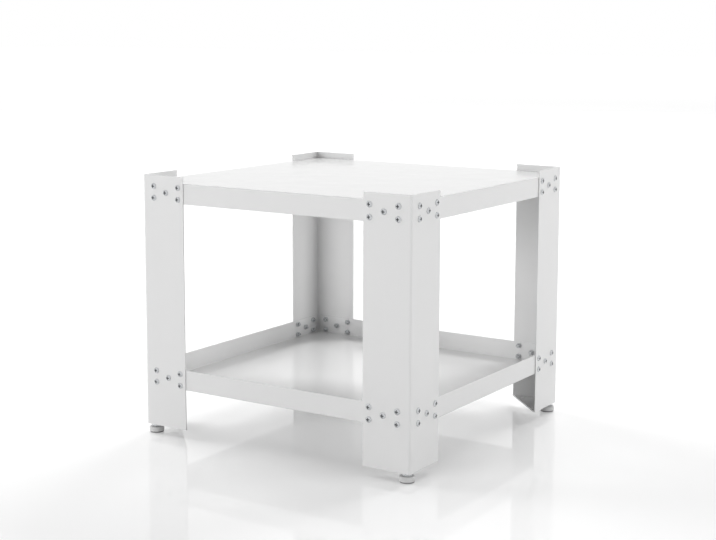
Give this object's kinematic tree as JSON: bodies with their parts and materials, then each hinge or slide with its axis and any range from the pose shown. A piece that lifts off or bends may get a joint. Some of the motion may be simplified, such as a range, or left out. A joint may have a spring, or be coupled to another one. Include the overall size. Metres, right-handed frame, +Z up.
{
  "type": "laundry pedestal",
  "caption": "Open laundry machine pedestal in folded white steel sheet: L-section legs, a bolted deck with corner lips, a storage tray below and screw-in levelling feet.",
  "frame": {"origin": "on the floor under the middle of the pedestal, feet screwed in", "axes": "+Z up, -Y to the front, +X to the right as seen from the front"},
  "size_m": [0.6192, 0.6072, 0.518],
  "materials": {
    "white_coat": "white gloss powder coat on folded steel sheet",
    "zinc": "bright zinc plating",
    "grey_plastic": "moulded grey polyamide",
    "black_rubber": "moulded black rubber"
  },
  "bodies": {
    "stand": {"top_deck": "white_coat", "lower_tray": "white_coat", "deck_channel_left": "white_coat", "deck_channel_right": "white_coat", "leg_front_left": "white_coat", "leg_front_right": "white_coat", "leg_rear_left": "white_coat", "leg_rear_right": "white_coat", "foot_plate_front_left": "white_coat", "foot_plate_front_right": "white_coat", "foot_plate_rear_left": "white_coat", "foot_plate_rear_right": "white_coat", "weld_nut_front_left": "white_coat", "weld_nut_front_right": "white_coat", "weld_nut_rear_left": "white_coat", "weld_nut_rear_right": "white_coat", "jam_nut_front_left": "zinc", "jam_nut_front_right": "zinc", "jam_nut_rear_left": "zinc", "jam_nut_rear_right": "zinc", "deck_screws_front_left": "zinc", "deck_screws_front_right": "zinc", "deck_screws_rear_left": "zinc", "deck_screws_rear_right": "zinc", "tray_screws_front_left": "zinc", "tray_screws_front_right": "zinc", "tray_screws_rear_left": "zinc", "tray_screws_rear_right": "zinc", "deck_nuts_front_left": "zinc", "deck_nuts_front_right": "zinc", "deck_nuts_rear_left": "zinc", "deck_nuts_rear_right": "zinc", "tray_nuts_front_left": "zinc", "tray_nuts_front_right": "zinc", "tray_nuts_rear_left": "zinc", "tray_nuts_rear_right": "zinc"},
    "foot_front_left": {"foot_base_front_left": "grey_plastic", "foot_sole_front_left": "black_rubber"},
    "stud_front_left": {"foot_stud_front_left": "zinc"},
    "foot_front_right": {"foot_base_front_right": "grey_plastic", "foot_sole_front_right": "black_rubber"},
    "stud_front_right": {"foot_stud_front_right": "zinc"},
    "foot_rear_left": {"foot_base_rear_left": "grey_plastic", "foot_sole_rear_left": "black_rubber"},
    "stud_rear_left": {"foot_stud_rear_left": "zinc"},
    "foot_rear_right": {"foot_base_rear_right": "grey_plastic", "foot_sole_rear_right": "black_rubber"},
    "stud_rear_right": {"foot_stud_rear_right": "zinc"}
  },
  "joints": [
    {"name": "foot_height_front_left", "type": "slide", "parent": "stand", "child": "foot_front_left", "axis": [0, 0, -1], "range_m": [0, 0.015]},
    {"name": "stud_turn_front_left", "type": "hinge", "parent": "foot_front_left", "child": "stud_front_left", "pos_m": [-0.2925, -0.2865, 0], "axis": [0, 0, -1], "range_deg": [0, 3600]},
    {"name": "foot_height_front_right", "type": "slide", "parent": "stand", "child": "foot_front_right", "axis": [0, 0, -1], "range_m": [0, 0.015]},
    {"name": "stud_turn_front_right", "type": "hinge", "parent": "foot_front_right", "child": "stud_front_right", "pos_m": [0.2925, -0.2865, 0], "axis": [0, 0, -1], "range_deg": [0, 3600]},
    {"name": "foot_height_rear_left", "type": "slide", "parent": "stand", "child": "foot_rear_left", "axis": [0, 0, -1], "range_m": [0, 0.015]},
    {"name": "stud_turn_rear_left", "type": "hinge", "parent": "foot_rear_left", "child": "stud_rear_left", "pos_m": [-0.2925, 0.2865, 0], "axis": [0, 0, -1], "range_deg": [0, 3600]},
    {"name": "foot_height_rear_right", "type": "slide", "parent": "stand", "child": "foot_rear_right", "axis": [0, 0, -1], "range_m": [0, 0.015]},
    {"name": "stud_turn_rear_right", "type": "hinge", "parent": "foot_rear_right", "child": "stud_rear_right", "pos_m": [0.2925, 0.2865, 0], "axis": [0, 0, -1], "range_deg": [0, 3600]}
  ],
  "couplings": [
    {"joint": "stud_turn_front_left", "follows": "foot_height_front_left", "rad_per_m": 4188.8},
    {"joint": "stud_turn_front_right", "follows": "foot_height_front_right", "rad_per_m": 4188.8},
    {"joint": "stud_turn_rear_left", "follows": "foot_height_rear_left", "rad_per_m": 4188.8},
    {"joint": "stud_turn_rear_right", "follows": "foot_height_rear_right", "rad_per_m": 4188.8}
  ]
}
